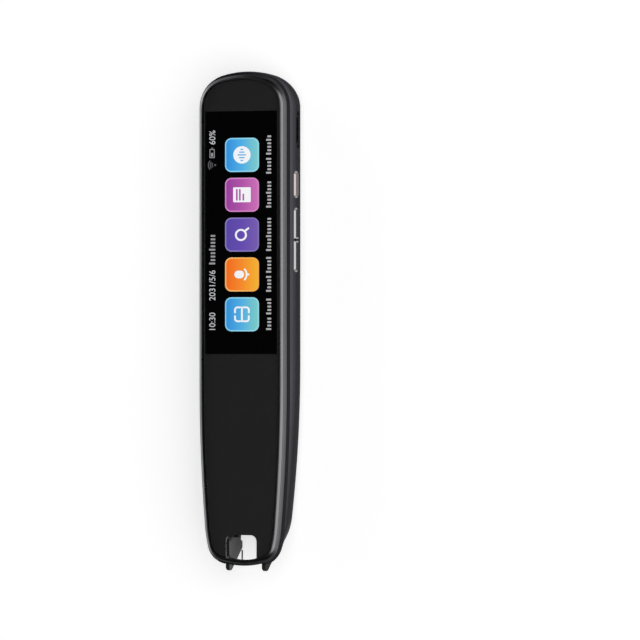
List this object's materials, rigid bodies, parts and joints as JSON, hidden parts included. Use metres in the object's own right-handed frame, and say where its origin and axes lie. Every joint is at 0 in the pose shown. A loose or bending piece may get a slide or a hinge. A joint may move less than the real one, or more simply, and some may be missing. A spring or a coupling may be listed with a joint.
{
  "type": "scanning pen",
  "caption": "Slim scanning pen with a long touch screen, side keys, a rear speaker grille, a charging port and a sprung scanning fork round an open window at its nose.",
  "frame": {"origin": "middle of the pen's outline, on the level of the lowest line of its back", "axes": "+Y towards the speaker end, -Y towards the scanning nose, +X towards the keys, +Z out of the screen"},
  "size_m": [0.0314, 0.1474, 0.015],
  "materials": {
    "cover_glass": "clear hardened glass, polished",
    "glass_print": "dark grey print under the glass",
    "adhesive": "black adhesive and foam",
    "polished_trim": "polished dark trim",
    "frame_metal": "satin grey anodised",
    "inner_black": "fine moulded black",
    "display": "black display, lit picture",
    "tray_metal": "stamped sheet",
    "flat_cable": "amber film",
    "shell_paint": "satin gunmetal paint on moulded plastic",
    "key_rose": "fine satin, warm silver",
    "key_silver": "fine satin silver",
    "switch_plastic": "moulded",
    "switch_metal": "stamped can",
    "port_metal": "drawn steel shell",
    "board_green": "green solder mask",
    "screw_steel": "zinc plated",
    "chip_black": "moulded package",
    "battery_foil": "pouch foil",
    "magnet": "plated magnet cup",
    "cone_film": "thin pressed film",
    "mesh_cloth": "fine dust cloth",
    "smoked_window": "smoked clear plastic",
    "guide_grey": "grey moulded light guide",
    "lamp_yellow": "lamp resin",
    "lens_glass": "coated lens",
    "fork_black": "black moulded, satin"
  },
  "bodies": {
    "casing": {"cover_glass": "cover_glass", "glass_mask": "glass_print", "glass_adhesive": "adhesive", "glass_bezel": "polished_trim", "side_frame": "frame_metal", "mid_frame": "inner_black", "display_panel": "display", "backlight_unit": "tray_metal", "display_flex": "flat_cable", "rear_shell": "shell_paint", "key_switches": "switch_metal", "key_flex": "flat_cable", "key_bracket": "tray_metal", "usb_port": "port_metal", "usb_tongue": "inner_black", "main_board": "board_green", "board_screws": "screw_steel", "shield_can": "tray_metal", "main_chips": "chip_black", "microphones": "switch_metal", "battery": "battery_foil", "battery_tape": "adhesive", "battery_lead": "flat_cable", "speaker_frame": "inner_black", "speaker_magnet": "magnet", "speaker_cone": "cone_film", "speaker_gasket": "adhesive", "speaker_mesh": "mesh_cloth", "scan_bezel": "inner_black", "scan_window": "smoked_window", "light_guide": "guide_grey", "scan_leds": "lamp_yellow", "light_board": "board_green", "camera_holder": "inner_black", "lens_barrel": "inner_black", "camera_lens": "lens_glass", "image_sensor": "chip_black", "camera_board": "board_green", "camera_flex": "flat_cable", "scan_board": "board_green", "fork_switch": "switch_metal", "antenna": "flat_cable"},
    "power_button": {"power_key": "key_rose", "power_switch_plunger": "switch_plastic"},
    "volume_up_button": {"volume_up_key": "key_silver", "volume_up_switch_plunger": "switch_plastic"},
    "volume_down_button": {"volume_down_key": "key_silver", "volume_down_switch_plunger": "switch_plastic"},
    "fork": {"scan_fork": "fork_black", "fork_switch_plunger": "switch_plastic"}
  },
  "joints": [
    {"name": "power_press", "type": "slide", "parent": "casing", "child": "power_button", "axis": [-1, 0, 0], "range_m": [0, 0.00035], "stiffness_N_per_m": 500, "springref_m": -0.0004},
    {"name": "volume_up_press", "type": "slide", "parent": "casing", "child": "volume_up_button", "axis": [-1, 0, 0], "range_m": [0, 0.00035], "stiffness_N_per_m": 500, "springref_m": -0.0004},
    {"name": "volume_down_press", "type": "slide", "parent": "casing", "child": "volume_down_button", "axis": [-1, 0, 0], "range_m": [0, 0.00035], "stiffness_N_per_m": 500, "springref_m": -0.0004},
    {"name": "fork_press", "type": "slide", "parent": "casing", "child": "fork", "axis": [0, 1, 0], "range_m": [0, 0.0008], "stiffness_N_per_m": 400, "springref_m": -0.0008}
  ]
}
